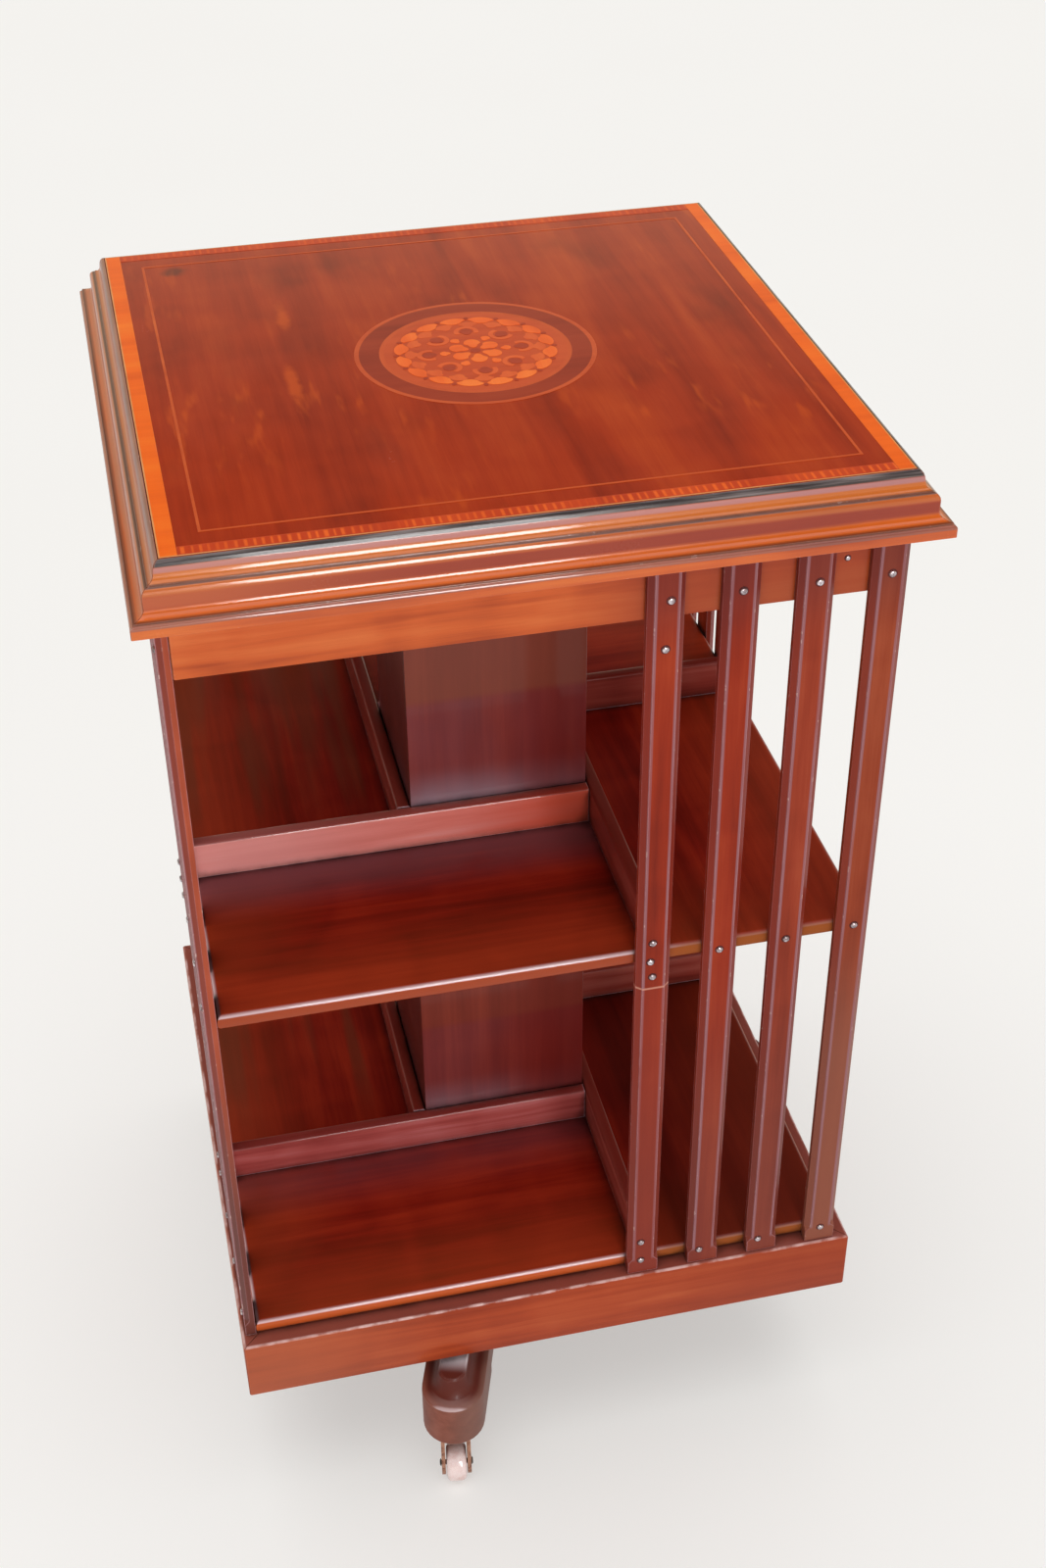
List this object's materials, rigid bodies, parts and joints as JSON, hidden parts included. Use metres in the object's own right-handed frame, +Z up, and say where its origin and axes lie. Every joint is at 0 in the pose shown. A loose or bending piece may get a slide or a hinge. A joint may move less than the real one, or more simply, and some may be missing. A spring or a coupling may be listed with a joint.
{
  "type": "revolving bookcase",
  "caption": "Square two-tier revolving bookcase with a moulded inlaid top, slatted sides, a hollow central column and a spindle base on casters.",
  "frame": {"origin": "on the floor below the spindle's axis", "axes": "+Z up along the spindle; -Y is the front, the face whose long opening is on its left and slats on its right"},
  "size_m": [0.5316, 0.5233, 0.8497],
  "materials": {
    "top_veneer": "French polish",
    "moulding": "French polish",
    "case": "French polish",
    "shelf": "French polish",
    "base": "worn polish",
    "bearing_wood": "bare",
    "iron": "oiled",
    "brass": "aged",
    "ceramic": "glazed"
  },
  "bodies": {
    "base": {"base_hub": "base", "base_arm_1": "base", "base_arm_2": "base", "base_arm_3": "base", "spindle": "iron", "caster_plate_1": "brass", "caster_plate_2": "brass", "caster_plate_3": "brass"},
    "case": {"spindle_bush": "brass", "lower_bearing_block": "bearing_wood", "pivot_block": "bearing_wood", "column": "case", "bottom_shelf": "shelf", "middle_shelf": "shelf", "top_panel": "top_veneer", "top_moulding_front": "moulding", "top_moulding_right": "moulding", "top_moulding_back": "moulding", "top_moulding_left": "moulding", "frieze_rail_front": "moulding", "frieze_rail_right": "moulding", "frieze_rail_back": "moulding", "frieze_rail_left": "moulding", "plinth_rail_front": "case", "plinth_rail_right": "case", "plinth_rail_back": "case", "plinth_rail_left": "case", "lower_rail_front": "case", "lower_rail_right": "case", "lower_rail_back": "case", "lower_rail_left": "case", "upper_rail_front": "case", "upper_rail_right": "case", "upper_rail_back": "case", "upper_rail_left": "case", "slat_front_1": "case", "slat_front_2": "case", "slat_front_3": "case", "slat_front_4": "case", "slat_right_1": "case", "slat_right_2": "case", "slat_right_3": "case", "slat_right_4": "case", "slat_back_1": "case", "slat_back_2": "case", "slat_back_3": "case", "slat_back_4": "case", "slat_left_1": "case", "slat_left_2": "case", "slat_left_3": "case", "slat_left_4": "case"},
    "caster_1": {"caster_horn_1": "brass", "caster_axle_1": "iron"},
    "caster_2": {"caster_horn_2": "brass", "caster_axle_2": "iron"},
    "caster_3": {"caster_horn_3": "brass", "caster_axle_3": "iron"},
    "wheel_1": {"caster_wheel_1": "ceramic"},
    "wheel_2": {"caster_wheel_2": "ceramic"},
    "wheel_3": {"caster_wheel_3": "ceramic"}
  },
  "joints": [
    {"name": "case_turn", "type": "hinge", "parent": "base", "child": "case", "pos_m": [0, 0, 0.19], "axis": [0, 0, 1], "continuous": true},
    {"name": "caster_1_swivel", "type": "hinge", "parent": "base", "child": "caster_1", "pos_m": [-0.08336, -0.24627, 0.048], "axis": [0, 0, 1], "continuous": true},
    {"name": "caster_2_swivel", "type": "hinge", "parent": "base", "child": "caster_2", "pos_m": [0.25496, 0.05095, 0.048], "axis": [0, 0, 1], "continuous": true},
    {"name": "caster_3_swivel", "type": "hinge", "parent": "base", "child": "caster_3", "pos_m": [-0.1716, 0.19533, 0.048], "axis": [0, 0, 1], "continuous": true},
    {"name": "wheel_1_roll", "type": "hinge", "parent": "caster_1", "child": "wheel_1", "pos_m": [-0.08513, -0.25784, 0.015], "axis": [-0.9885, 0.1513, 0], "continuous": true},
    {"name": "wheel_2_roll", "type": "hinge", "parent": "caster_2", "child": "wheel_2", "pos_m": [0.26586, 0.0552, 0.015], "axis": [0.3633, -0.9317, 0], "continuous": true},
    {"name": "wheel_3_roll", "type": "hinge", "parent": "caster_3", "child": "wheel_3", "pos_m": [-0.18073, 0.20264, 0.015], "axis": [0.6252, 0.7804, 0], "continuous": true}
  ]
}
